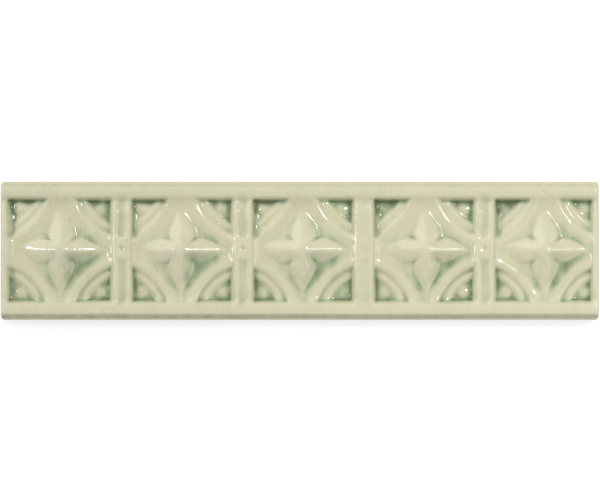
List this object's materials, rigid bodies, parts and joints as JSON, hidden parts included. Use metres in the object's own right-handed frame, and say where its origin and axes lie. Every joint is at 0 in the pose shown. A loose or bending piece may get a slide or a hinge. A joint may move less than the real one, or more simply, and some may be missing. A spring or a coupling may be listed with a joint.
{
  "type": "wall tile",
  "caption": "Narrow relief-moulded ceramic border tile in crackled pale green glaze, with sunk square panels that each hold a cross-shaped flower and corner arcs",
  "frame": {"origin": "centre of the footprint, on the ground that the back rests on", "axes": "+X along the length, +Y across the width towards the upper long edge, +Z out of the glazed face"},
  "size_m": [0.152, 0.0352, 0.0104],
  "materials": {
    "glazed_clay": "gloss"
  },
  "bodies": {
    "root": {"wall_tile": "glazed_clay"}
  },
  "joints": []
}
